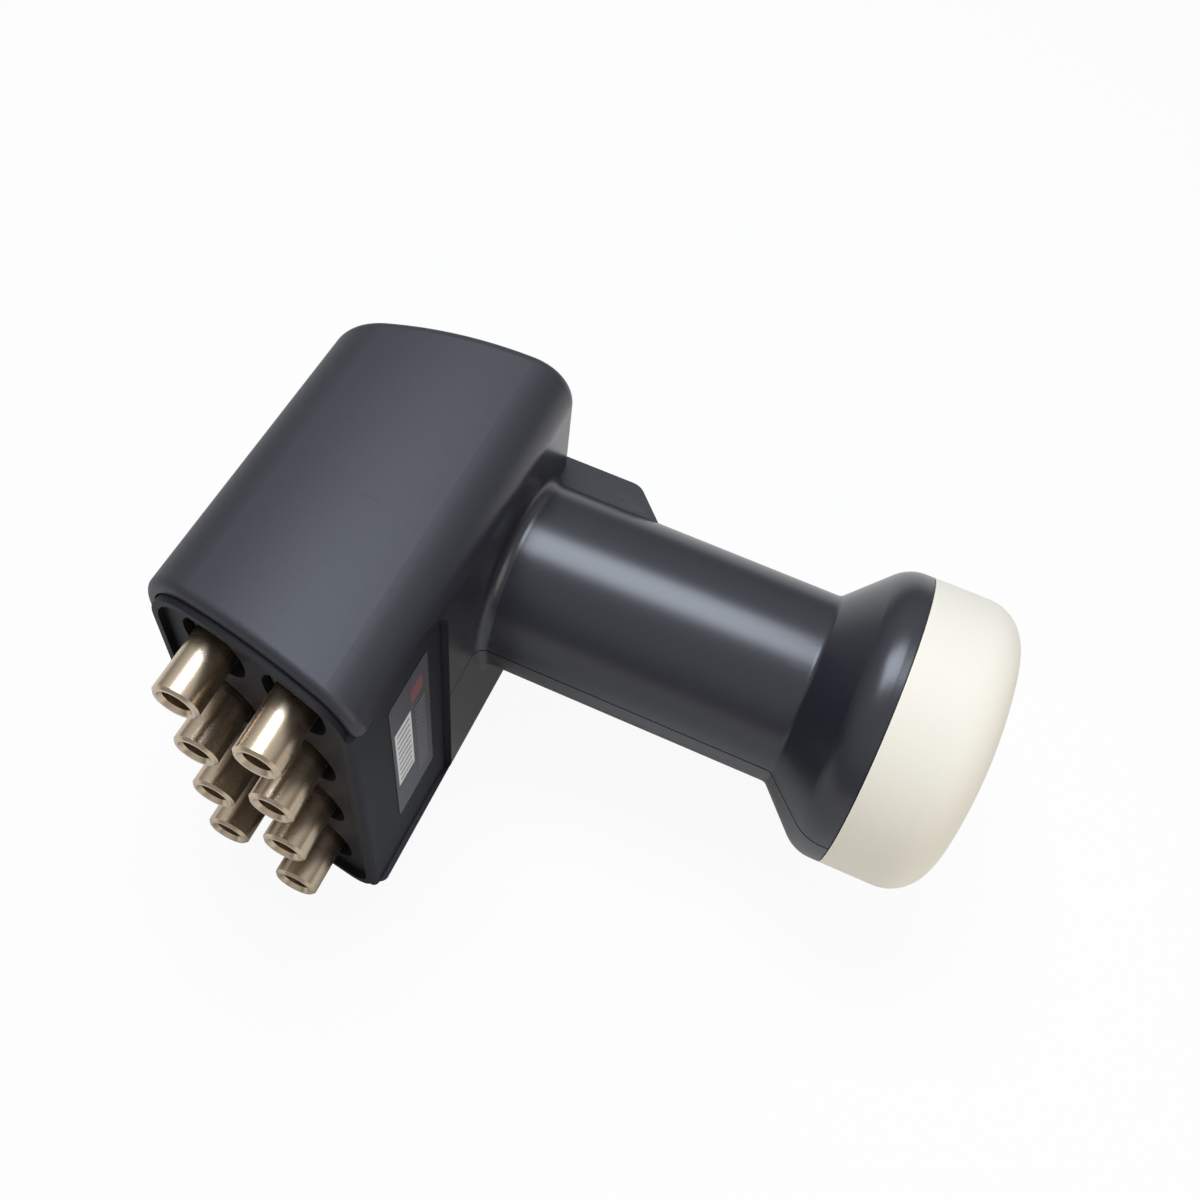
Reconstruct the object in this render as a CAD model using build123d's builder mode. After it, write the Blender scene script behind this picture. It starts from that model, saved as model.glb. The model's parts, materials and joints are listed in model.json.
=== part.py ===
from build123d import *
import os
from math import atan2, cos, radians, sin, sqrt, tan

# An eight-output satellite converter, lying on its side. X runs along the neck to the horn cap,
# the output sockets point along -Y, and the origin is on the neck's axis at the body's front face.

# Neck, flare and cap, all turned about the X axis
neck_diameter = 40.0
neck_length = 62.3
root_radius = 2.4
flare_length = 10.2
rim_diameter = 60.4
rim_band = 4.8
rim_radius = 8.0
crease_radius = 1.5
cap_depth = 22.4
cap_crown = 4.6
cap_edge_radius = 8.5
seam_gap = 0.25

# Body: an arched section, drawn along Y, with both ends drafted towards the back
body_depth = 48.0
crown_half_height = 42.2
arch_rise = 4.4
front_edge_radius = 10.5
back_edge_radius = 13.5
inner_edge_radius = 0.6
body_far = 23.6
body_near = 61.6
end_draft = 11.8
far_edge_radius = 2.4
lip_edge_radius = 1.8
shell_wall = 2.2
groove_width = 0.35
groove_depth = 0.4
fit = 0.3
press = 0.05
overshoot = 5.0

# Flat pad on the far side of the neck, at its root
pad_reach = 23.2
pad_flat = 16.0
pad_length = 23.9
pad_half_width = 12.0
pad_corner_radius = 4.0

# Connector insert: drafted end plate and label panel in one moulding
plate_set_in = 0.2
plate_thickness = 3.0
plate_rim_width = 1.4
plate_rim_height = 1.5
panel_end = 32.0
panel_half_height = 33.5
panel_corner_radius = 8.0
panel_recess = 1.6
panel_wall = 2.2
bend_radius = 1.2

# Label on the panel
label_length = 14.0
label_height = 44.0
label_thickness = 0.15
label_margin = 5.0
label_lift = 2.5
label_corner_radius = 1.0

# Output sockets, two columns by four rows
port_columns = 2
port_rows = 4
column_pitch = 17.5
row_margin = 4.6
port_hole_radius = 6.9
barrel_radius = 4.5
barrel_reach = 17.0
barrel_chamfer = 0.5
flange_radius = 6.2
flange_thickness = 2.0
shank_radius = 4.1
shank_length = 5.6
socket_bore_radius = 2.8
socket_mouth_radius = 3.4
socket_mouth_depth = 0.8
insulator_set_back = 3.5
seat_radius = 6.6
seat_step = 0.3
contact_radius = 0.55
contact_set_back = 1.5
contact_inset = 5.0
contact_bend = 1.5

# Castings and what they hold
casting_wall = 2.5
casting_end_wall = 6.0
waveguide_radius = 8.75
waveguide_wall = 2.5
board_thickness = 1.0
board_ledge = 1.2
gasket_thickness = 0.5
probe_radius = 0.6
probe_gap = 2.4
probe_tip = 3.0
probe_foot = 12.5
back_short_depth = 6.5
pillar_radius = 3.6
pillar_margin = 0.3
pillar_near = 30.0
screw_radius = 1.5
screw_head_radius = 2.75
screw_head_height = 2.0
screw_grip = 8.0
collar_start = 6.0
collar_length = 5.0
horn_grip = 9.0
horn_throat_step = 4.0
horn_mouth_radius = 25.2
choke_radius = 18.0
choke_wall = 1.5
choke_set_back = 6.0
seal_radius = 1.0
seal_set_back = 6.0

# Sizes that follow from the ones above
neck_radius = neck_diameter / 2
rim_outer = rim_diameter / 2
flare_end = neck_length + flare_length
rim_front = flare_end + rim_band
flare_angle = atan2(rim_outer - neck_radius, flare_length)
cap_back = rim_front + seam_gap
cap_front = rim_front + cap_depth - cap_crown
body_middle = -body_depth / 2
arch_radius = ((body_depth / 2) ** 2 + arch_rise ** 2) / (2 * arch_rise)
arch_centre = crown_half_height - arch_radius
draft = radians(end_draft)
block_reach = body_far + body_near + overshoot
casting_inset = shell_wall + fit
cavity_inset = casting_inset + casting_wall
plate_back = plate_set_in + plate_thickness
casting_near = plate_back + fit
cavity_near = casting_near + casting_end_wall
casting_front = -panel_recess - panel_wall - fit
joint_x = body_middle
board_front = joint_x + board_thickness
tube_radius = waveguide_radius + waveguide_wall
neck_bore = neck_radius - shell_wall
horn_radius = rim_outer - casting_inset
horn_front = cap_front - cap_edge_radius - fit
near_plane = Plane(
    (0, -body_near, 0),
    x_dir=(cos(draft), -sin(draft), 0),
    z_dir=(-sin(draft), -cos(draft), 0),
)
far_plane = Plane(
    (0, body_far, 0),
    x_dir=(cos(draft), sin(draft), 0),
    z_dir=(-sin(draft), cos(draft), 0),
)
column_offset = (port_columns - 1) * column_pitch / 2
port_arch = arch_radius - casting_inset - seat_radius - row_margin
last_row = arch_centre + sqrt(port_arch ** 2 - column_offset ** 2)
row_pitch = 2 * last_row / (port_rows - 1)
ports = [
    (body_middle - column_offset + column * column_pitch, row * row_pitch - last_row)
    for column in range(port_columns)
    for row in range(port_rows)
]
casting_back = -body_depth + casting_inset
casting_far = body_far + casting_back * tan(draft) - casting_inset / cos(draft)
pillar_far = casting_far - pillar_radius - pillar_margin
pillars = [
    (y, side * row_pitch)
    for y in (pillar_far, -pillar_near)
    for side in (-1, 1)
]

os.makedirs("parts", exist_ok=True)


def keep(piece, label):
    """Names a finished piece and writes it to its own file."""
    piece.label = label
    export_step(piece, f"parts/{label}.step")


def drafted_y(x, depth):
    """Height along Y, at x, of a plane that lies depth inside the connector end."""
    return -body_near + depth / cos(draft) - x * tan(draft)


def body_section(inset, plane):
    """Arched section across the body, drawn inwards by inset."""
    half_depth = body_depth / 2 - inset
    arch = arch_radius - inset
    corner = arch_centre + sqrt(arch ** 2 - half_depth ** 2)
    crown = arch_centre + arch
    back = body_middle - half_depth
    front = body_middle + half_depth
    with BuildSketch(plane) as section:
        with BuildLine():
            ThreePointArc((back, corner), (body_middle, crown), (front, corner))
            Line((front, corner), (front, -corner))
            ThreePointArc((front, -corner), (body_middle, -crown), (back, -corner))
            Line((back, -corner), (back, corner))
        make_face()
        back_corners = section.vertices().group_by(Axis.X)[0]
        fillet(back_corners, radius=max(back_edge_radius - inset, inner_edge_radius))
        front_corners = section.vertices().group_by(Axis.X)[-1]
        fillet(front_corners, radius=max(front_edge_radius - inset, inner_edge_radius))
    return section.sketch


def body_block(inset, far_inset, near_inset):
    """The body's drafted block, with its sides and both ends drawn inwards."""
    with BuildPart() as block:
        extrude(body_section(inset, Plane.XZ.offset(-block_reach)), amount=2 * block_reach)
        split(bisect_by=far_plane.offset(-far_inset), keep=Keep.BOTTOM)
        split(bisect_by=near_plane.offset(-near_inset), keep=Keep.BOTTOM)
    return block.part


def slice_x(block, low, high):
    """The stretch of a block between two planes across X."""
    with BuildPart() as stretch:
        add(block)
        split(bisect_by=Plane.YZ.offset(low), keep=Keep.TOP)
        split(bisect_by=Plane.YZ.offset(high), keep=Keep.BOTTOM)
    return stretch.part


def neck_outline(inset, start, stop):
    """Half section of the neck and flare about the X axis, drawn inwards by inset."""
    shift = inset * tan(flare_angle / 2)
    with BuildSketch() as outline:
        with BuildLine():
            Polyline(
                (start, 0),
                (start, neck_radius - inset),
                (neck_length + shift, neck_radius - inset),
                (flare_end + shift, rim_outer - inset),
                (stop, rim_outer - inset),
                (stop, 0),
                close=True,
            )
        make_face()
        crease = outline.vertices().sort_by_distance((neck_length + shift, neck_radius - inset))[0]
        fillet(crease, radius=crease_radius + inset)
        shoulder = outline.vertices().sort_by_distance((flare_end + shift, rim_outer - inset))[0]
        fillet(shoulder, radius=max(rim_radius - inset, inner_edge_radius))
    return outline.sketch


def pad_outline(inset):
    """Side view of the flat pad at the neck's root, drawn inwards by inset."""
    pad_foot = sqrt(neck_radius ** 2 - pad_half_width ** 2) - shell_wall / 2
    with BuildSketch() as pad:
        with BuildLine():
            Polyline(
                (-shell_wall, pad_foot),
                (-shell_wall, pad_reach - inset),
                (pad_flat - inset / 2, pad_reach - inset),
                (pad_length - inset, pad_foot),
                close=True,
            )
        make_face()
        corner = pad.vertices().sort_by_distance((pad_flat, pad_reach))[0]
        fillet(corner, radius=pad_corner_radius)
    return pad.sketch


# Fine groove that runs round the outside where the two halves of the housing part
groove_core = body_block(groove_depth, groove_depth, groove_depth)
with BuildPart() as parting_groove:
    with BuildSketch():
        Rectangle(4 * block_reach, 4 * block_reach)
    extrude(amount=groove_width / 2, both=True)
    add(groove_core, mode=Mode.SUBTRACT)
    groove_neck = neck_outline(groove_depth, -shell_wall, rim_front + overshoot)
    revolve(groove_neck, axis=Axis.X, mode=Mode.SUBTRACT)
    extrude(pad_outline(groove_depth), amount=pad_half_width, both=True, mode=Mode.SUBTRACT)

# Outer moulding, drawn whole and then parted along the plane through the neck's axis
outer_body = body_block(0, 0, 0)
body_cavity = body_block(shell_wall, shell_wall, -overshoot)
with BuildPart() as housing:
    add(outer_body)
    far_face = housing.faces().sort_by(Axis.Y)[-1]
    fillet(far_face.edges(), radius=far_edge_radius)
    near_face = housing.faces().sort_by(Axis.Y)[0]
    fillet(near_face.edges(), radius=lip_edge_radius)
    revolve(neck_outline(0, -shell_wall, rim_front), axis=Axis.X)
    with BuildSketch():
        with BuildLine():
            root_low = neck_radius - shell_wall / 2
            root_top = neck_radius + root_radius
            Polyline((root_radius, neck_radius), (root_radius, root_low), (-shell_wall / 2, root_low))
            Polyline((-shell_wall / 2, root_low), (-shell_wall / 2, root_top), (0, root_top))
            RadiusArc((0, root_top), (root_radius, neck_radius), -root_radius)
        make_face()
    revolve(axis=Axis.X)
    extrude(pad_outline(0), amount=pad_half_width, both=True)
    add(parting_groove.part, mode=Mode.SUBTRACT)
    add(body_cavity, mode=Mode.SUBTRACT)
    neck_bore_section = neck_outline(shell_wall, -2 * shell_wall, rim_front + overshoot)
    revolve(neck_bore_section, axis=Axis.X, mode=Mode.SUBTRACT)
    with BuildSketch(Plane.YZ.offset(-2 * shell_wall)) as opening:
        panel_start = body_near + overshoot
        with Locations((-(panel_start + panel_end) / 2, 0)):
            Rectangle(panel_start - panel_end, 2 * panel_half_height)
        fillet(opening.vertices().group_by(Axis.Y)[-1], radius=panel_corner_radius)
    extrude(amount=3 * shell_wall, mode=Mode.SUBTRACT)

with BuildPart() as upper_shell:
    add(housing.part)
    split(bisect_by=Plane.XY, keep=Keep.TOP)
keep(upper_shell.part, "upper_shell")

with BuildPart() as lower_shell:
    add(housing.part)
    split(bisect_by=Plane.XY, keep=Keep.BOTTOM)
keep(lower_shell.part, "lower_shell")

# Connector insert: end plate with a raised rim, clearance holes and the label panel
pocket_section = body_section(casting_inset + plate_rim_width, Plane.XZ.offset(-block_reach))
plate_section = body_section(casting_inset, Plane.XZ.offset(-block_reach))
with BuildPart() as plate_pocket:
    extrude(pocket_section, amount=2 * block_reach)
    split(bisect_by=near_plane.offset(-plate_set_in), keep=Keep.TOP)

with BuildPart() as connector_insert:
    extrude(plate_section, amount=2 * block_reach)
    split(bisect_by=near_plane.offset(-plate_back), keep=Keep.TOP)
    with BuildSketch(Plane.YZ.offset(-panel_recess)) as panel:
        with Locations((-(panel_start + panel_end + fit) / 2, 0)):
            Rectangle(panel_start - panel_end - fit, 2 * (panel_half_height - fit))
        fillet(panel.vertices().group_by(Axis.Y)[-1], radius=panel_corner_radius - fit)
    extrude(amount=-panel_wall)
    split(bisect_by=near_plane.offset(plate_rim_height - plate_set_in), keep=Keep.BOTTOM)
    add(plate_pocket.part, mode=Mode.SUBTRACT)
    bend_y = drafted_y(-panel_recess, plate_set_in - plate_rim_height)
    bend_edges = connector_insert.edges().filter_by(Axis.Z)
    fillet(bend_edges.sort_by_distance((-panel_recess, bend_y, 0))[0], radius=bend_radius)
    with BuildSketch(Plane.XZ.offset(-block_reach)):
        with Locations(*ports):
            Circle(port_hole_radius)
    extrude(amount=2 * block_reach, mode=Mode.SUBTRACT)
keep(connector_insert.part, "connector_insert")

# Printed label on the panel
with BuildPart() as label:
    with BuildSketch(Plane.YZ.offset(-panel_recess)):
        with Locations((-panel_end - fit - label_margin - label_length / 2, label_lift)):
            RectangleRounded(label_length, label_height, label_corner_radius)
    extrude(amount=label_thickness)
keep(label.part, "label")

# Horn cap with a gently domed front
with BuildPart() as horn_cap:
    with BuildSketch() as cap_section:
        cap_bore = rim_outer - shell_wall
        cap_inside = cap_front - shell_wall
        with BuildLine():
            for side in (-1, 1):
                Polyline(
                    (cap_inside, side * cap_bore),
                    (cap_back, side * cap_bore),
                    (cap_back, side * rim_outer),
                    (cap_front, side * rim_outer),
                )
            SagittaArc((cap_front, rim_outer), (cap_front, -rim_outer), cap_crown)
            SagittaArc((cap_inside, cap_bore), (cap_inside, -cap_bore), cap_crown)
        make_face()
        outer_corners = cap_section.vertices().group_by(Axis.X)[-1]
        fillet(outer_corners, radius=cap_edge_radius)
        inner_corners = cap_section.vertices().sort_by_distance((cap_inside, cap_bore))[:1]
        inner_corners += cap_section.vertices().sort_by_distance((cap_inside, -cap_bore))[:1]
        fillet(inner_corners, radius=max(cap_edge_radius - shell_wall, inner_edge_radius))
        split(bisect_by=Plane.XZ, keep=Keep.BOTTOM)
    revolve(axis=Axis.X)
keep(horn_cap.part, "horn_cap")

# Seal ring between the cap and the horn
seal_x = cap_back + seal_set_back
seal_centre = horn_radius + fit - seal_radius - press
with BuildPart() as cap_seal:
    with BuildSketch():
        with Locations((seal_x, seal_centre)):
            Circle(seal_radius)
    revolve(axis=Axis.X)
keep(cap_seal.part, "cap_seal")

# Front casting: waveguide, horn and the front half of the box that shields the circuit board
casting_block = body_block(casting_inset, casting_inset, casting_near)
cavity_block = body_block(cavity_inset, cavity_inset, cavity_near)
rebate_block = body_block(cavity_inset - board_ledge, cavity_inset - board_ledge, cavity_near - board_ledge)
tube_back = board_front + probe_gap
throat = neck_length - horn_grip
choke_back = (neck_length + flare_end) / 2
front_box = slice_x(casting_block, joint_x, casting_front)
front_cavity = slice_x(cavity_block, joint_x - overshoot, casting_front - casting_wall)
board_rebate = slice_x(rebate_block, joint_x - overshoot, board_front)
with BuildPart() as feed_casting:
    add(front_box)
    add(front_cavity, mode=Mode.SUBTRACT)
    with BuildSketch(Plane.YZ.offset(board_front)):
        with Locations(*pillars):
            Circle(pillar_radius)
    extrude(amount=casting_front - board_front - casting_wall / 2)
    with BuildSketch(Plane.YZ.offset(tube_back)):
        Circle(tube_radius)
    extrude(amount=throat - tube_back)
    with BuildSketch(Plane.YZ.offset(collar_start)):
        Circle(neck_bore - fit)
    extrude(amount=collar_length)
    revolve(neck_outline(casting_inset, throat, horn_front), axis=Axis.X)
    with BuildSketch():
        with BuildLine():
            Polyline(
                (tube_back - overshoot, 0),
                (tube_back - overshoot, waveguide_radius),
                (throat + waveguide_wall, waveguide_radius),
                (throat + waveguide_wall, waveguide_radius + horn_throat_step),
                (neck_length, waveguide_radius + horn_throat_step),
                (cap_back, horn_mouth_radius),
                (horn_front + overshoot, horn_mouth_radius),
                (horn_front + overshoot, 0),
                close=True,
            )
        make_face()
    revolve(axis=Axis.X, mode=Mode.SUBTRACT)
    with BuildSketch(Plane.YZ.offset(choke_back)):
        Circle(choke_radius)
        Circle(choke_radius - choke_wall, mode=Mode.SUBTRACT)
    extrude(amount=horn_front - choke_set_back - choke_back)
    with BuildSketch():
        with Locations((seal_x, seal_centre + seal_radius)):
            Rectangle(2 * seal_radius + 2 * fit, 4 * seal_radius + 2 * press)
    revolve(axis=Axis.X, mode=Mode.SUBTRACT)
    add(board_rebate, mode=Mode.SUBTRACT)
    with BuildSketch(Plane.YZ.offset(board_front)):
        with Locations(*pillars):
            Circle(screw_radius + press)
    extrude(amount=screw_grip + fit, mode=Mode.SUBTRACT)
    for x, z in ports[port_rows:]:
        seat_y = drafted_y(x - seat_radius, casting_near) + seat_step
        with BuildSketch(Plane((x, seat_y, z), x_dir=(1, 0, 0), z_dir=(0, -1, 0))):
            Circle(seat_radius)
        extrude(amount=casting_end_wall, mode=Mode.SUBTRACT)
        with BuildSketch(Plane((x, seat_y, z), x_dir=(1, 0, 0), z_dir=(0, -1, 0))):
            Circle(shank_radius + press)
        extrude(amount=-casting_end_wall - seat_radius, mode=Mode.SUBTRACT)
keep(feed_casting.part, "feed_casting")

# Rear casting: the other half of the box, with the short behind the waveguide
rear_face = joint_x - gasket_thickness
rear_box = slice_x(casting_block, casting_back - overshoot, rear_face)
rear_cavity = slice_x(cavity_block, casting_back + casting_wall, joint_x + overshoot)
with BuildPart() as rear_casting:
    add(rear_box)
    add(rear_cavity, mode=Mode.SUBTRACT)
    with BuildSketch(Plane.YZ.offset(joint_x)):
        with Locations(*pillars):
            Circle(pillar_radius)
    extrude(amount=casting_back + casting_wall / 2 - joint_x)
    with BuildSketch(Plane.YZ.offset(joint_x - fit)):
        Circle(tube_radius)
    extrude(amount=casting_back + casting_wall / 2 - joint_x)
    with BuildSketch(Plane.YZ.offset(joint_x)):
        Circle(waveguide_radius)
    extrude(amount=-back_short_depth, mode=Mode.SUBTRACT)
    with BuildSketch(Plane.YZ.offset(joint_x)):
        with Locations(*pillars):
            Circle(screw_radius + fit)
    extrude(amount=-body_depth, mode=Mode.SUBTRACT)
    with BuildSketch(Plane.YZ.offset(casting_back + screw_head_height)):
        with Locations(*pillars):
            Circle(screw_head_radius + fit)
    extrude(amount=-body_depth, mode=Mode.SUBTRACT)
    for x, z in ports[:port_rows]:
        seat_y = drafted_y(x - seat_radius, casting_near) + seat_step
        with BuildSketch(Plane((x, seat_y, z), x_dir=(1, 0, 0), z_dir=(0, -1, 0))):
            Circle(seat_radius)
        extrude(amount=casting_end_wall, mode=Mode.SUBTRACT)
        with BuildSketch(Plane((x, seat_y, z), x_dir=(1, 0, 0), z_dir=(0, -1, 0))):
            Circle(shank_radius + press)
        extrude(amount=-casting_end_wall - seat_radius, mode=Mode.SUBTRACT)
keep(rear_casting.part, "rear_casting")

# Gasket between the two castings, which also presses on the board's edge
gasket_blank = slice_x(casting_block, rear_face, joint_x)
with BuildPart() as casting_gasket:
    add(gasket_blank)
    add(cavity_block, mode=Mode.SUBTRACT)
keep(casting_gasket.part, "casting_gasket")

# Circuit board on its ledge in the front casting
board_block = body_block(
    cavity_inset - board_ledge + press,
    cavity_inset - board_ledge + press,
    cavity_near - board_ledge + press,
)
board_blank = slice_x(board_block, joint_x, board_front)
with BuildPart() as circuit_board:
    add(board_blank)
    with BuildSketch(Plane.YZ.offset(joint_x)):
        with Locations(*pillars):
            Circle(screw_radius + fit)
    extrude(amount=board_thickness, mode=Mode.SUBTRACT)
keep(circuit_board.part, "circuit_board")

# Long screws that draw the castings together through the board
screw_tip = board_front + screw_grip
with BuildPart() as casting_screws:
    with BuildSketch(Plane.YZ.offset(casting_back)):
        with Locations(*pillars):
            Circle(screw_head_radius)
    extrude(amount=screw_head_height)
    with BuildSketch(Plane.YZ.offset(casting_back + screw_head_height)):
        with Locations(*pillars):
            Circle(screw_radius)
    extrude(amount=screw_tip - casting_back - screw_head_height)
keep(casting_screws.part, "casting_screws")

# Two probes on the board, square to each other across the waveguide's end
probe_x = board_front + probe_gap / 2
for name, across in (("probe_horizontal", (0, -1, 0)), ("probe_vertical", (0, 0, 1))):
    direction = Vector(*across)
    with BuildPart() as probe:
        with BuildLine() as probe_path:
            FilletPolyline(
                Vector(board_front, 0, 0) + direction * probe_foot,
                Vector(probe_x, 0, 0) + direction * probe_foot,
                Vector(probe_x, 0, 0) + direction * probe_tip,
                radius=probe_radius,
            )
        with BuildSketch(Plane(probe_path.line @ 0, z_dir=probe_path.line % 0)):
            Circle(probe_radius / 2)
        sweep()
    keep(probe.part, name)

# Output sockets: a smooth barrel, its insulator and the contact that runs to the board
contact_y = drafted_y(joint_x, cavity_near) + contact_inset
for number, (x, z) in enumerate(ports, start=1):
    seat_y = drafted_y(x - seat_radius, casting_near) + seat_step
    port_plane = Plane((x, seat_y, z), x_dir=(0, -1, 0), z_dir=(0, 0, 1))
    port_axis = Axis((x, seat_y, z), (0, -1, 0))
    mouth = barrel_reach - socket_mouth_depth
    insulator_face = mouth - insulator_set_back

    with BuildPart() as connector_body:
        with BuildSketch(port_plane):
            with BuildLine():
                Polyline(
                    (-shank_length, socket_bore_radius),
                    (-shank_length, shank_radius),
                    (0, shank_radius),
                    (0, flange_radius),
                    (flange_thickness, flange_radius),
                    (flange_thickness, barrel_radius),
                    (barrel_reach - barrel_chamfer, barrel_radius),
                    (barrel_reach, barrel_radius - barrel_chamfer),
                    (barrel_reach, socket_mouth_radius),
                    (mouth, socket_bore_radius),
                    close=True,
                )
            make_face()
        revolve(axis=port_axis)
    keep(connector_body.part, f"connector_body_{number}")

    with BuildPart() as connector_insulator:
        with BuildSketch(port_plane):
            with BuildLine():
                Polyline(
                    (-shank_length, contact_radius + press),
                    (-shank_length, socket_bore_radius - press),
                    (insulator_face, socket_bore_radius - press),
                    (insulator_face, contact_radius + press),
                    close=True,
                )
            make_face()
        revolve(axis=port_axis)
    keep(connector_insulator.part, f"connector_insulator_{number}")

    board_face = board_front if x > joint_x else joint_x
    with BuildPart() as connector_contact:
        with BuildLine() as contact_path:
            FilletPolyline(
                (board_face, contact_y, z),
                (x, contact_y, z),
                (x, seat_y - insulator_face + contact_set_back, z),
                radius=contact_bend,
            )
        with BuildSketch(Plane(contact_path.line @ 0, z_dir=contact_path.line % 0)):
            Circle(contact_radius)
        sweep()
    keep(connector_contact.part, f"connector_contact_{number}")
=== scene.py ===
# %% [markdown]
# A satellite converter for a dish: a dark moulded housing with a round neck, a cream cap over the horn,
# and eight bright sockets at the end of the arched body. The solids are already right, so this lesson
# is mostly about finishes: each moulding, plating and print gets a material built from nodes, and
# then the part is lit and looked at from where the picture was taken.

# %% Load the frame
import json
import bpy
from math import radians
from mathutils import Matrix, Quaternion, Vector


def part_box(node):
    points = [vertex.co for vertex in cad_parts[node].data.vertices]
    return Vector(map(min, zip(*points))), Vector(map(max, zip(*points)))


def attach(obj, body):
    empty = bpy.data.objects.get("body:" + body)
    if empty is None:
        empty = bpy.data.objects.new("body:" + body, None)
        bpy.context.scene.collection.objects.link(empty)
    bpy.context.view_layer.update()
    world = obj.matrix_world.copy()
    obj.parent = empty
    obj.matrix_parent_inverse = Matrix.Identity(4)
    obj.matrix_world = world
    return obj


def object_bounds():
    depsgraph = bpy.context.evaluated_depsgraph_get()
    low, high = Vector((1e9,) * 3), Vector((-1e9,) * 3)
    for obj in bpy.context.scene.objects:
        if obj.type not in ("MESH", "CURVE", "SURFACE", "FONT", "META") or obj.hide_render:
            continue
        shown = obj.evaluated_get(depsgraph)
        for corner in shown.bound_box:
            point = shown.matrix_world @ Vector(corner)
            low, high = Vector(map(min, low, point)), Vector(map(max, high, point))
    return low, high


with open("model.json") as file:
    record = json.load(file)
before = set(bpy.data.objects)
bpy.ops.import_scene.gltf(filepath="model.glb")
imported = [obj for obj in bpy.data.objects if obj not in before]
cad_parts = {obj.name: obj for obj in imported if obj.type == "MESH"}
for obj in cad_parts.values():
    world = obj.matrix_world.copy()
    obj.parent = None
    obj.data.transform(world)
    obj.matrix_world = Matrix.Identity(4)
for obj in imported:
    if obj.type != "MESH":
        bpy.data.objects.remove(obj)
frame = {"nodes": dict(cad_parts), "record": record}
nodes = frame["nodes"]
cad_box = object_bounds()
MM = 0.001
print("nodes", len(nodes), "box in mm", [[round(v / MM, 1) for v in corner] for corner in cad_box])


# %% [markdown]
# Colours are written as sRGB hex values, the way a paint chart or a picture editor gives them, but the
# shader works in linear light, so one function converts them. A second small function adds any node,
# with its settings and its links, and that is nearly all the material cells below need.

# %% Colour and node helpers
def linear(hex_code):
    """Linear RGBA for an sRGB hex colour such as #4a4a4e."""
    values = [int(hex_code[i:i + 2], 16) / 255 for i in (1, 3, 5)]
    return [v / 12.92 if v <= 0.04045 else ((v + 0.055) / 1.055) ** 2.4 for v in values] + [1.0]


def set_inputs(tree, node, inputs):
    """Sets inputs by name or number. A tuple of a node and an output's name makes a link."""
    for key, value in inputs.items():
        if isinstance(value, tuple) and isinstance(value[0], bpy.types.Node):
            tree.links.new(value[0].outputs[value[1]], node.inputs[key])
        else:
            node.inputs[key].default_value = value


def add_node(tree, kind, settings=None, inputs=None):
    """Adds one node with its settings and its inputs."""
    node = tree.nodes.new(kind)
    for name, value in (settings or {}).items():
        setattr(node, name, value)
    set_inputs(tree, node, inputs or {})
    return node


def new_material(name):
    """An empty material with its shader and output, ready for the finish's own nodes."""
    material = bpy.data.materials.new(name)
    material.use_nodes = True
    tree = material.node_tree
    tree.nodes.clear()
    shader = add_node(tree, "ShaderNodeBsdfPrincipled")
    add_node(tree, "ShaderNodeOutputMaterial", inputs={"Surface": (shader, "BSDF")})
    return material, tree, shader


print("helpers ready")


# %% [markdown]
# Most of the part is injection-moulded plastic. The steel tool is spark eroded, which leaves a grain of
# a few tenths of a millimetre, and that grain is what breaks a highlight into a soft sheen. Noise at the
# grain's size drives the bump and the roughness, and a second, much wider noise shifts the colour by
# a shade, as the flow of the resin does.

# %% Moulded plastics
GRAIN_RELIEF_MM = 0.05
GRAIN_GLOSS = (-0.05, 0.07)
FLOW_MM = 45.0


def moulded_plastic(name, colour, flow_colour, roughness, grain_mm, grain_depth, specular=0.5):
    """Plastic from a grained mould: a fine bump, a roughness that follows it and a faint flow tint."""
    material, tree, shader = new_material(name)
    place = add_node(tree, "ShaderNodeTexCoord")
    grain = add_node(tree, "ShaderNodeTexNoise", inputs={
        "Vector": (place, "Object"), "Scale": 1 / (grain_mm * MM), "Detail": 3.0, "Roughness": 0.55})
    flow = add_node(tree, "ShaderNodeTexNoise", inputs={
        "Vector": (place, "Object"), "Scale": 1 / (FLOW_MM * MM), "Detail": 2.0})
    tint = add_node(tree, "ShaderNodeMix", {"data_type": "RGBA"}, {
        "Factor": (flow, "Fac"), "A": linear(colour), "B": linear(flow_colour)})
    gloss = add_node(tree, "ShaderNodeMapRange", inputs={
        "Value": (grain, "Fac"), "To Min": roughness + GRAIN_GLOSS[0], "To Max": roughness + GRAIN_GLOSS[1]})
    bump = add_node(tree, "ShaderNodeBump", inputs={
        "Height": (grain, "Fac"), "Strength": grain_depth, "Distance": GRAIN_RELIEF_MM * MM})
    set_inputs(tree, shader, {
        "Base Color": (tint, "Result"), "Roughness": (gloss, "Result"), "Normal": (bump, "Normal"),
        "IOR": 1.5, "Specular IOR Level": specular})
    return material


# Matt black ABS: it gives back hardly any light, so the sockets and the label stand out from it.
insert_plastic = moulded_plastic(
    "black_abs_matt_grained", "#131318", "#18181d",
    roughness=0.6, grain_mm=0.35, grain_depth=0.4, specular=0.2)
# Ivory polypropylene: pale, soft and almost without a highlight.
cap_plastic = moulded_plastic(
    "ivory_polypropylene_moulded", "#f3ecdd", "#eee6d3",
    roughness=0.62, grain_mm=0.6, grain_depth=0.2, specular=0.3)
# Brown acetal: a dull disc deep in each socket.
insulator_plastic = moulded_plastic(
    "brown_acetal_moulded", "#4a3c31", "#3f332a", roughness=0.45, grain_mm=0.3, grain_depth=0.2)
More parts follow.
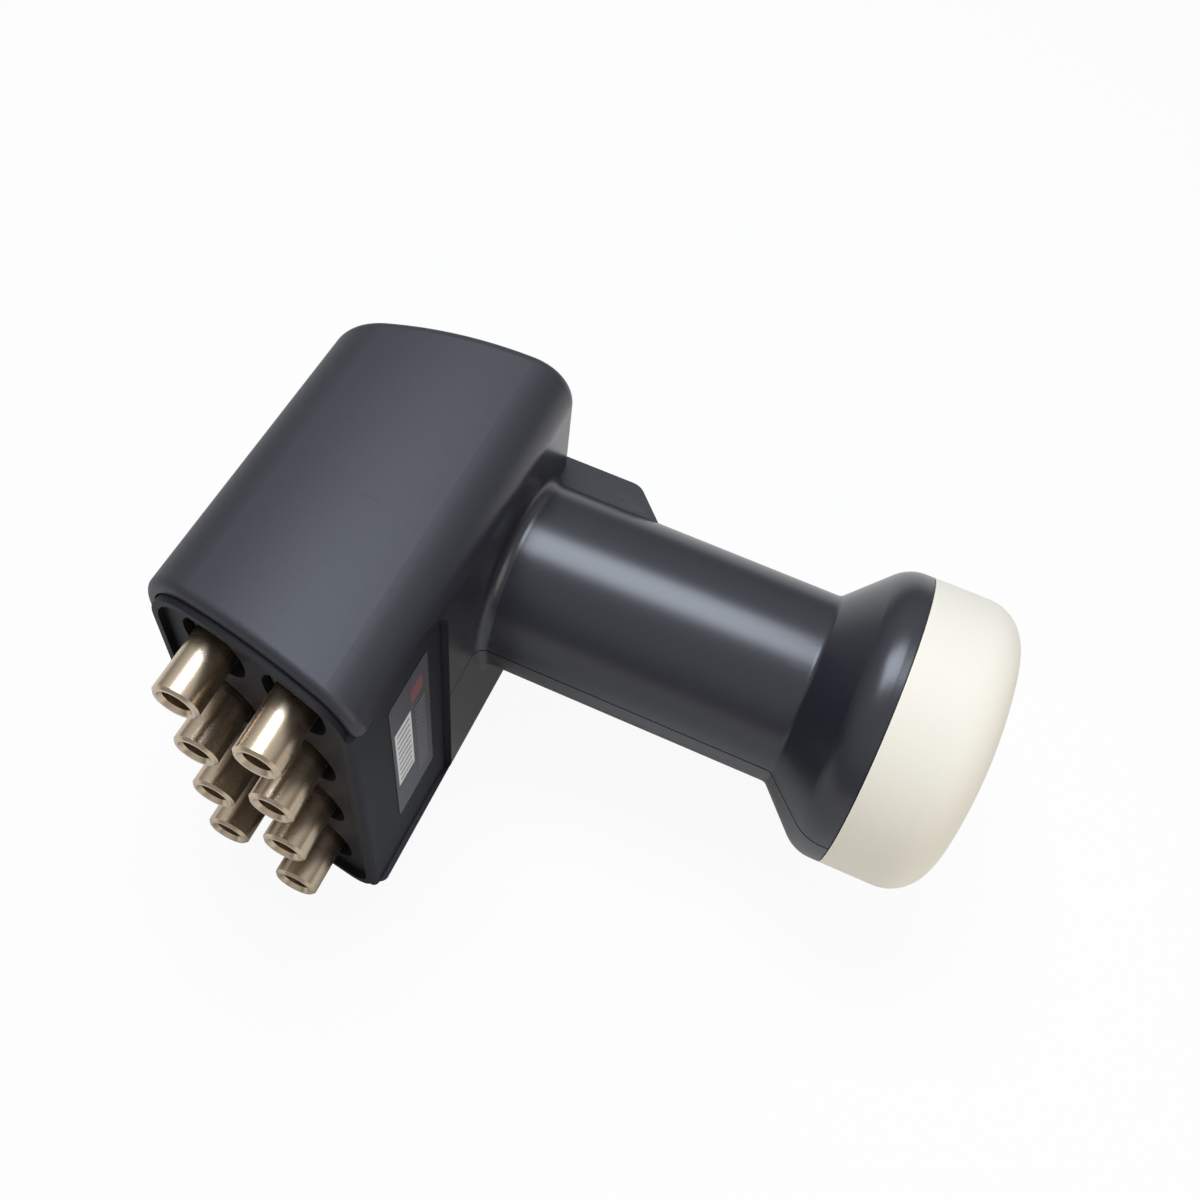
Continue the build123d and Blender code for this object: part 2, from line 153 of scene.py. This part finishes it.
# Silicone rubber: dark and without shine, between cap and horn.
seal_rubber = moulded_plastic(
    "black_silicone_rubber", "#141414", "#1b1b1b", roughness=0.65, grain_mm=0.3, grain_depth=0.3)
print("plastics", insert_plastic.name, cap_plastic.name, insulator_plastic.name, seal_rubber.name)


# %% [markdown]
# The housing is the same kind of plastic, but its tool had two finishes. The body's arch was eroded to a
# matt skin, while the front face and the neck, which a clamp slides along, were left nearly smooth: the
# neck carries the long soft highlight, and the front face mirrors the table at a low angle. The two
# halves are one moulding each, so the change can't be a second piece: it is a ramp along X, just behind
# the front face, that mixes two roughness values. A few handling scuffs, a stretched noise cut off near
# its top, dull the smooth parts here and there.

# %% Housing plastic
HOUSING_FLOW_MM = 38.0
SATIN_RAMP_MM = (-3.5, -0.5)
MATT_GRAIN_DEPTH, SATIN_GRAIN_DEPTH = 0.4, 0.12
SCUFF_MM = 2.6
SCUFF_TURN = 35
SCUFF_STRETCH = (0.22, 1.0, 1.0)
SCUFF_CUT = (0.64, 0.76)
SCUFF_DULLING = 0.08


def housing_plastic_finish(name, colour, flow_colour, body_gloss, neck_gloss, grain_mm):
    """Matt body, satin front face and neck in one moulded plastic, with light scuffs."""
    material, tree, shader = new_material(name)
    place = add_node(tree, "ShaderNodeTexCoord")
    axes = add_node(tree, "ShaderNodeSeparateXYZ", inputs={"Vector": (place, "Object")})
    neck = add_node(tree, "ShaderNodeMapRange", inputs={
        "Value": (axes, "X"), "From Min": SATIN_RAMP_MM[0] * MM, "From Max": SATIN_RAMP_MM[1] * MM})
    grain = add_node(tree, "ShaderNodeTexNoise", inputs={
        "Vector": (place, "Object"), "Scale": 1 / (grain_mm * MM), "Detail": 3.0, "Roughness": 0.55})
    flow = add_node(tree, "ShaderNodeTexNoise", inputs={
        "Vector": (place, "Object"), "Scale": 1 / (HOUSING_FLOW_MM * MM), "Detail": 2.0})
    tint = add_node(tree, "ShaderNodeMix", {"data_type": "RGBA"}, {
        "Factor": (flow, "Fac"), "A": linear(colour), "B": linear(flow_colour)})
    stretch = add_node(tree, "ShaderNodeMapping", inputs={
        "Vector": (place, "Object"), "Rotation": (0.0, 0.0, radians(SCUFF_TURN)), "Scale": SCUFF_STRETCH})
    streaks = add_node(tree, "ShaderNodeTexNoise", inputs={
        "Vector": (stretch, "Vector"), "Scale": 1 / (SCUFF_MM * MM), "Detail": 4.0})
    scuffs = add_node(tree, "ShaderNodeMapRange", inputs={
        "Value": (streaks, "Fac"), "From Min": SCUFF_CUT[0], "From Max": SCUFF_CUT[1],
        "To Max": SCUFF_DULLING})
    gloss = add_node(tree, "ShaderNodeMapRange", inputs={
        "Value": (neck, "Result"), "To Min": body_gloss, "To Max": neck_gloss})
    worn = add_node(tree, "ShaderNodeMath", {"operation": "ADD"}, {
        0: (gloss, "Result"), 1: (scuffs, "Result")})
    depth = add_node(tree, "ShaderNodeMapRange", inputs={
        "Value": (neck, "Result"), "To Min": MATT_GRAIN_DEPTH, "To Max": SATIN_GRAIN_DEPTH})
    bump = add_node(tree, "ShaderNodeBump", inputs={
        "Height": (grain, "Fac"), "Strength": (depth, "Result"), "Distance": GRAIN_RELIEF_MM * MM})
    set_inputs(tree, shader, {
        "Base Color": (tint, "Result"), "Roughness": (worn, "Value"), "Normal": (bump, "Normal"),
        "IOR": 1.53})
    return material


# Black ABS: a soft grey sheen on the matt arch, and a long clear highlight on the satin neck.
housing_plastic = housing_plastic_finish(
    "black_abs_spark_grained", "#212127", "#28282e", body_gloss=0.53, neck_gloss=0.28, grain_mm=0.45)
print("housing", housing_plastic.name)


# %% [markdown]
# Metals differ mostly in colour and in how the surface was worked. The sockets are brass, turned on a
# lathe and thinly nickel plated, so the warm brass shows through: the tool leaves rings round the axis
# that soften the reflections. Real rings are finer than the render can show, so they are drawn coarser.
# The castings inside are plain die-cast alloy with a sandy skin. Both come from one recipe: a noise
# squeezed along one axis gives turned lines, and an even one gives a cast skin.

# %% Worked metals
LINE_RELIEF_MM = 0.02
LINE_GLOSS = (-0.04, 0.06)
TURNED = (0.05, 1.0, 0.05)
EVEN = (1.0, 1.0, 1.0)


def worked_metal(name, colour, dark_colour, roughness, spacing_mm, stretch, depth):
    """Metal with a fine pattern of the given spacing. A stretch below 1 draws it out along that axis."""
    material, tree, shader = new_material(name)
    place = add_node(tree, "ShaderNodeTexCoord")
    turn = add_node(tree, "ShaderNodeMapping", inputs={"Vector": (place, "Object"), "Scale": stretch})
    lines = add_node(tree, "ShaderNodeTexNoise", inputs={
        "Vector": (turn, "Vector"), "Scale": 1 / (spacing_mm * MM), "Detail": 2.0})
    tint = add_node(tree, "ShaderNodeMix", {"data_type": "RGBA"}, {
        "Factor": (lines, "Fac"), "A": linear(colour), "B": linear(dark_colour)})
    gloss = add_node(tree, "ShaderNodeMapRange", inputs={
        "Value": (lines, "Fac"), "To Min": roughness + LINE_GLOSS[0], "To Max": roughness + LINE_GLOSS[1]})
    bump = add_node(tree, "ShaderNodeBump", inputs={
        "Height": (lines, "Fac"), "Strength": depth, "Distance": LINE_RELIEF_MM * MM})
    set_inputs(tree, shader, {
        "Base Color": (tint, "Result"), "Roughness": (gloss, "Result"), "Normal": (bump, "Normal"),
        "Metallic": 1.0})
    return material


# Nickel over brass: pale and warm, with one bright band of light along each barrel.
socket_nickel = worked_metal(
    "turned_brass_nickel_plated", "#cfbda5", "#bfab90",
    roughness=0.28, spacing_mm=0.3, stretch=TURNED, depth=0.015)
# Drawn brass: a yellow point in the middle of each socket.
contact_brass = worked_metal(
    "drawn_brass_wire", "#c79a4e", "#b4873e", roughness=0.3, spacing_mm=0.3, stretch=EVEN, depth=0.1)
# Die-cast aluminium: dull and grey, with the sandy skin of the die.
casting_alloy = worked_metal(
    "die_cast_aluminium", "#b4b6b8", "#9fa1a4", roughness=0.5, spacing_mm=0.6, stretch=EVEN, depth=0.5)
# Zinc plated steel: a little brighter and smoother than the castings it holds.
screw_steel = worked_metal(
    "zinc_plated_steel", "#bfc1c4", "#a9abb0", roughness=0.35, spacing_mm=0.4, stretch=EVEN, depth=0.2)
print("metals", socket_nickel.name, contact_brass.name, casting_alloy.name, screw_steel.name)


# %% [markdown]
# The circuit board is glass-fibre laminate under green solder mask. It is shut inside the castings, so a
# plain mask with the weave just showing through is enough. Two crossed waves give the weave. A wave
# texture of scale 1 repeats every 0.31 units, which turns the thread's width into a scale.

# %% Board laminate
WAVE_PERIOD = 0.31


def board_laminate(name, colour, weave_colour, thread_mm):
    """Solder mask over a plain glass weave."""
    material, tree, shader = new_material(name)
    place = add_node(tree, "ShaderNodeTexCoord")
    across, along = [add_node(tree, "ShaderNodeTexWave", {"bands_direction": axis}, {
        "Vector": (place, "Object"), "Scale": WAVE_PERIOD / (thread_mm * MM)}) for axis in ("Y", "Z")]
    weave = add_node(tree, "ShaderNodeMath", {"operation": "MULTIPLY"}, {
        0: (across, "Fac"), 1: (along, "Fac")})
    tint = add_node(tree, "ShaderNodeMix", {"data_type": "RGBA"}, {
        "Factor": (weave, "Value"), "A": linear(colour), "B": linear(weave_colour)})
    set_inputs(tree, shader, {"Base Color": (tint, "Result"), "Roughness": 0.3})
    return material


board_green = board_laminate("solder_mask_laminate", "#1d5a34", "#256a3e", thread_mm=0.5)
print("board", board_green.name)


# %% [markdown]
# The label is a dark printed film on the side panel. Its large fields, a pale block and a dull red bar,
# have no relief at all, so they are masks in the film's material, each a rectangle in the label's own
# millimetres. That keeps their edges sharp at any distance without a picture file.

# %% Label film
FILM_GRAIN_MM = 0.8
FILM_GLOSS = (0.34, 0.44)
PALE_BLOCK = ((-3.0, 0.5), (6.0, 21.0))
RED_BAR = ((2.6, 15.0), (4.2, 5.0))
label_low, label_high = [Vector(corner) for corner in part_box("label")]
label_centre = (label_low + label_high) / 2


def field_mask(tree, axes, centre_mm, size_mm):
    """1 inside a rectangle on the label, 0 outside. Sizes run along Y and Z from the label's centre."""
    sides = []
    for axis, middle, size in zip("YZ", centre_mm, size_mm):
        sides.append(add_node(tree, "ShaderNodeMath", {"operation": "COMPARE"}, {
            0: (axes, axis), 1: label_centre["XYZ".index(axis)] + middle * MM, 2: size * MM / 2}))
    return add_node(tree, "ShaderNodeMath", {"operation": "MULTIPLY"}, {
        0: (sides[0], "Value"), 1: (sides[1], "Value")})


def printed_film(name, film_colour, film_shade, fields):
    """Dark film with plain printed fields, each given as a colour, a centre and a size in millimetres."""
    material, tree, shader = new_material(name)
    place = add_node(tree, "ShaderNodeTexCoord")
    axes = add_node(tree, "ShaderNodeSeparateXYZ", inputs={"Vector": (place, "Object")})
    grain = add_node(tree, "ShaderNodeTexNoise", inputs={
        "Vector": (place, "Object"), "Scale": 1 / (FILM_GRAIN_MM * MM), "Detail": 2.0})
    layers = add_node(tree, "ShaderNodeMix", {"data_type": "RGBA"}, {
        "Factor": (grain, "Fac"), "A": linear(film_colour), "B": linear(film_shade)})
    for colour, centre_mm, size_mm in fields:
        mask = field_mask(tree, axes, centre_mm, size_mm)
        layers = add_node(tree, "ShaderNodeMix", {"data_type": "RGBA"}, {
            "Factor": (mask, "Value"), "A": (layers, "Result"), "B": linear(colour)})
    gloss = add_node(tree, "ShaderNodeMapRange", inputs={
        "Value": (grain, "Fac"), "To Min": FILM_GLOSS[0], "To Max": FILM_GLOSS[1]})
    set_inputs(tree, shader, {"Base Color": (layers, "Result"), "Roughness": (gloss, "Result")})
    return material


# Polyester film: smoother than the panel under it, so the label shows as a faint sheet even where it is dark.
label_film = printed_film("printed_polyester_film", "#3a3940", "#34333a", [
    ("#e4e4e0", *PALE_BLOCK), ("#7b3a3e", *RED_BAR)])
print("label in mm", [round(v / MM, 1) for v in label_high - label_low])


# %% [markdown]
# On the pale block and beside it the real label carries rows of small print. Here the rows are plain ink
# bars, laid on the film a few hundredths of a millimetre thick. They repeat, so a Geometry Nodes tree
# makes them: a line of points, one flat bar instanced on each, realized into a plain mesh with its ink.

# %% Ink row tree
def ink_row_tree(name):
    """Node tree that lays equal bars along Z. All its sizes are inputs, in metres."""
    tree = bpy.data.node_groups.new(name, "GeometryNodeTree")
    sizes = (("Rows", "NodeSocketInt"), ("Start", "NodeSocketVector"), ("Step", "NodeSocketVector"),
             ("Bar", "NodeSocketVector"), ("Ink", "NodeSocketMaterial"))
    for label, kind in sizes:
        tree.interface.new_socket(label, in_out="INPUT", socket_type=kind)
    tree.interface.new_socket("Geometry", in_out="OUTPUT", socket_type="NodeSocketGeometry")
    given = add_node(tree, "NodeGroupInput")
    line = add_node(tree, "GeometryNodeMeshLine", inputs={
        "Count": (given, "Rows"), "Start Location": (given, "Start"), "Offset": (given, "Step")})
    bar = add_node(tree, "GeometryNodeMeshCube", inputs={"Size": (given, "Bar")})
    rows = add_node(tree, "GeometryNodeInstanceOnPoints", inputs={
        "Points": (line, "Mesh"), "Instance": (bar, "Mesh")})
    plain = add_node(tree, "GeometryNodeRealizeInstances", inputs={"Geometry": (rows, "Instances")})
    inked = add_node(tree, "GeometryNodeSetMaterial", inputs={
        "Geometry": (plain, "Geometry"), "Material": (given, "Ink")})
    add_node(tree, "NodeGroupOutput", inputs={"Geometry": (inked, "Geometry")})
    return tree


ink_tree = ink_row_tree("ink_rows")
print("ink tree nodes", len(ink_tree.nodes))


# %% [markdown]
# Screen-printed ink is never quite even, so its colour drifts a shade from spot to spot. The same tree
# then runs twice, with the sizes of each set of rows, and each result is kept as a plain piece.

# %% Ink rows
INK_MM = 0.03
INK_COVER_MM = 0.5


def printing_ink(name, colour, thin_colour):
    """Screen-printed ink that is a little thinner in places."""
    material, tree, shader = new_material(name)
    place = add_node(tree, "ShaderNodeTexCoord")
    cover = add_node(tree, "ShaderNodeTexNoise", inputs={
        "Vector": (place, "Object"), "Scale": 1 / (INK_COVER_MM * MM)})
    tint = add_node(tree, "ShaderNodeMix", {"data_type": "RGBA"}, {
        "Factor": (cover, "Fac"), "A": linear(colour), "B": linear(thin_colour)})
    set_inputs(tree, shader, {"Base Color": (tint, "Result"), "Roughness": 0.4})
    return material


def ink_rows(name, ink, rows, across_mm, first_mm, pitch_mm, bar_mm):
    """Rows of bars on the label, placed from its centre: across it along Y, and upwards from the first."""
    start = (label_high.x + INK_MM * MM / 2, label_centre.y + across_mm * MM, label_centre.z + first_mm * MM)
    values = {"Rows": rows, "Start": start, "Step": (0, 0, pitch_mm * MM),
              "Bar": (INK_MM * MM, bar_mm[0] * MM, bar_mm[1] * MM), "Ink": ink}
    maker = bpy.data.objects.new(name + "_maker", bpy.data.meshes.new(name + "_maker"))
    bpy.context.scene.collection.objects.link(maker)
    modifier = maker.modifiers.new("rows", "NODES")
    modifier.node_group = ink_tree
    for item in ink_tree.interface.items_tree:
        if item.in_out == "INPUT":
            modifier[item.identifier] = values[item.name]
    settled = maker.evaluated_get(bpy.context.evaluated_depsgraph_get())
    piece = bpy.data.objects.new(name, bpy.data.meshes.new_from_object(settled))
    bpy.data.objects.remove(maker)
    bpy.context.scene.collection.objects.link(piece)
    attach(piece, "root")
    return piece


grey_ink = printing_ink("grey_screen_ink", "#8b8b8a", "#9c9c9a")
pale_ink = printing_ink("pale_screen_ink", "#77767c", "#6b6a70")
block_rows = ink_rows("label_block_rows", grey_ink, rows=9, across_mm=PALE_BLOCK[0][0],
                      first_mm=-8.4, pitch_mm=2.2, bar_mm=(4.6, 0.7))
side_rows = ink_rows("label_side_rows", pale_ink, rows=16, across_mm=3.4,
                     first_mm=-17.0, pitch_mm=1.7, bar_mm=(3.6, 0.6))
print("ink faces", len(block_rows.data.polygons), len(side_rows.data.polygons))


# %% [markdown]
# Each solid now takes the finish of its real piece. The record already says which slot a node belongs
# to, so a table from slot to material dresses all of them and nothing is missed.

# %% Dress the solids
slot_finish = {
    "housing_plastic": housing_plastic,
    "insert_plastic": insert_plastic,
    "label_film": label_film,
    "cap_plastic": cap_plastic,
    "seal_rubber": seal_rubber,
    "casting_metal": casting_alloy,
    "screw_steel": screw_steel,
    "board_laminate": board_green,
    "socket_nickel": socket_nickel,
    "insulator_plastic": insulator_plastic,
    "contact_brass": contact_brass,
}
for subpart in frame["record"]["subparts"]:
    mesh = nodes[subpart["node"]].data
    mesh.materials.clear()
    mesh.materials.append(slot_finish[subpart["material_slot"]])


# %% [markdown]
# The part lies on a white table. To the camera nearly all of the table is replaced by plain white, so the
# background stays clean while a trace of the shadow remains. Reflections see that white too, but only
# further out: the glossy side of the body mirrors the table close to it, which lies in the part's own
# shadow, and plain white there would wash the dark side out.

# %% Table
TABLE_SIZE = 3.0
SHADE_CENTRE_MM = (10, -70, 0)
SHADE_EDGE_MM = (60, 150)


def white_table(name, colour, camera_white, mirror_white):
    """Pale surface of which the camera sees a share as plain white, and mirrors too away from the part."""
    material, tree, shader = new_material(name)
    set_inputs(tree, shader, {"Base Color": linear(colour), "Roughness": 0.9})
    white = add_node(tree, "ShaderNodeEmission", inputs={"Color": linear("#ffffff"), "Strength": 1.0})
    path = add_node(tree, "ShaderNodeLightPath")
    mirrors = add_node(tree, "ShaderNodeMath", {"operation": "MAXIMUM"}, {
        0: (path, "Is Glossy Ray"), 1: (path, "Is Transmission Ray")})
    place = add_node(tree, "ShaderNodeTexCoord")
    away = add_node(tree, "ShaderNodeVectorMath", {"operation": "DISTANCE"}, {
        0: (place, "Object"), 1: Vector(SHADE_CENTRE_MM) * MM})
    clear = add_node(tree, "ShaderNodeMapRange", {"interpolation_type": "SMOOTHSTEP"}, {
        "Value": (away, "Value"), "From Min": SHADE_EDGE_MM[0] * MM, "From Max": SHADE_EDGE_MM[1] * MM,
        "To Max": mirror_white})
    mirrored = add_node(tree, "ShaderNodeMath", {"operation": "MULTIPLY"}, {
        0: (mirrors, "Value"), 1: (clear, "Result")})
    share = add_node(tree, "ShaderNodeMath", {"operation": "MULTIPLY_ADD"}, {
        0: (path, "Is Camera Ray"), 1: camera_white, 2: (mirrored, "Value")})
    mix = add_node(tree, "ShaderNodeMixShader", inputs={
        "Fac": (share, "Value"), 1: (shader, "BSDF"), 2: (white, "Emission")})
    output = next(node for node in tree.nodes if node.type == "OUTPUT_MATERIAL")
    set_inputs(tree, output, {"Surface": (mix, "Shader")})
    return material


bpy.ops.mesh.primitive_plane_add(size=TABLE_SIZE, location=(0, 0, cad_box[0][2]))
table = bpy.context.object
table.name = "table"
table_finish = white_table("white_laminate_table", "#ecebe8", camera_white=0.93, mirror_white=0.8)
table.data.materials.append(table_finish)
print("table at", round(cad_box[0][2] / MM, 1), "mm")


# %% [markdown]
# One soft panel hangs almost straight above the part. It lays the long highlight on the upper third of
# the neck and the bright band on each barrel, and because the arch leans away from it, the arch only
# brightens softly towards the sockets. A weaker panel on the horn's side lights the front of the cap.

# %% Lights
def panel_light(name, place_mm, aim_mm, size_mm, watts, colour):
    """A soft panel, given by its two sides, that faces the aim point."""
    lamp = bpy.data.lights.new(name, "AREA")
    lamp.shape = "RECTANGLE"
    lamp.size, lamp.size_y = [side * MM for side in size_mm]
    lamp.energy = watts
    lamp.color = linear(colour)[:3]
    panel = bpy.data.objects.new(name, lamp)
    panel.location = Vector(place_mm) * MM
    facing = Vector(aim_mm) - Vector(place_mm)
    panel.rotation_euler = facing.to_track_quat("-Z", "Y").to_euler()
    bpy.context.scene.collection.objects.link(panel)
    return panel


panels = [
    panel_light("overhead_panel", place_mm=(-55, 85, 560), aim_mm=(-30, 0, 0),
                size_mm=(340, 290), watts=2.9, colour="#e6f0ff"),
    panel_light("cap_panel", place_mm=(370, -240, 230), aim_mm=(85, 0, 0),
                size_mm=(300, 300), watts=0.58, colour="#fffaf0"),
]
print("lights", [panel.name for panel in panels])


# %% [markdown]
# An even pale room gives the rest of the light. Metal looks like metal only when it has something dark to
# mirror, so in reflections the room's walls are dimmer than its ceiling, which starts where the Z of the
# direction passes CEILING_FROM. The camera sees the room as plain white.

# %% Room
CEILING_FROM = 0.7


def white_room(name, colour, level, wall_level, ceiling_level):
    """Even room light. Mirrors see dim walls under a white ceiling, and the camera sees plain white."""
    world = bpy.data.worlds.new(name)
    world.use_nodes = True
    tree = world.node_tree
    path = add_node(tree, "ShaderNodeLightPath")
    tint = add_node(tree, "ShaderNodeMix", {"data_type": "RGBA"}, {
        "Factor": (path, "Is Camera Ray"), "A": linear(colour), "B": linear("#ffffff")})
    mirrors = add_node(tree, "ShaderNodeMath", {"operation": "MAXIMUM"}, {
        0: (path, "Is Glossy Ray"), 1: (path, "Is Transmission Ray")})
    look = add_node(tree, "ShaderNodeTexCoord")
    height = add_node(tree, "ShaderNodeSeparateXYZ", inputs={"Vector": (look, "Generated")})
    walls = add_node(tree, "ShaderNodeMapRange", {"interpolation_type": "SMOOTHSTEP"}, {
        "Value": (height, "Z"), "From Min": 0.0, "From Max": CEILING_FROM,
        "To Min": wall_level, "To Max": ceiling_level})
    mirrored = add_node(tree, "ShaderNodeMapRange", inputs={
        "Value": (mirrors, "Value"), "To Min": level, "To Max": (walls, "Result")})
    strength = add_node(tree, "ShaderNodeMath", {"operation": "MAXIMUM"}, {
        0: (mirrored, "Result"), 1: (path, "Is Camera Ray")})
    set_inputs(tree, tree.nodes["Background"], {"Color": (tint, "Result"), "Strength": (strength, "Value")})
    return world


room = white_room("white_room", "#dcdee2", level=0.43, wall_level=0.3, ceiling_level=1.0)
bpy.context.scene.world = room
print("room", room.name)


# %% [markdown]
# The camera stands above the socket side and looks down at the neck, turned a little about its own axis
# so that the neck slopes across the picture. Its place and lens were fitted to the neck's two edges, the
# rims and the socket mouths, with the scale taken from the neck, which is 40 mm across.

# %% Camera
CAMERA_PLACE_MM = (54.7, -133.9, 216.8)
CAMERA_AIM_MM = (17.5, 1.1, 0.0)
CAMERA_ROLL = 9.46
LENS_MM = 37.65
SENSOR_MM = 36.0
NEAREST = 0.01
camera_data = bpy.data.cameras.new("camera")
camera_data.lens = LENS_MM
camera_data.sensor_width = SENSOR_MM
camera_data.clip_start = NEAREST
camera = bpy.data.objects.new("camera", camera_data)
camera.location = Vector(CAMERA_PLACE_MM) * MM
looking = Vector(CAMERA_AIM_MM) - Vector(CAMERA_PLACE_MM)
camera.rotation_mode = "QUATERNION"
camera.rotation_quaternion = looking.to_track_quat("-Z", "Y") @ Quaternion((0, 0, 1), radians(CAMERA_ROLL))
bpy.context.scene.collection.objects.link(camera)
bpy.context.scene.camera = camera
bpy.context.scene.view_settings.view_transform = "Standard"
print("camera", [round(v, 3) for v in camera.location])
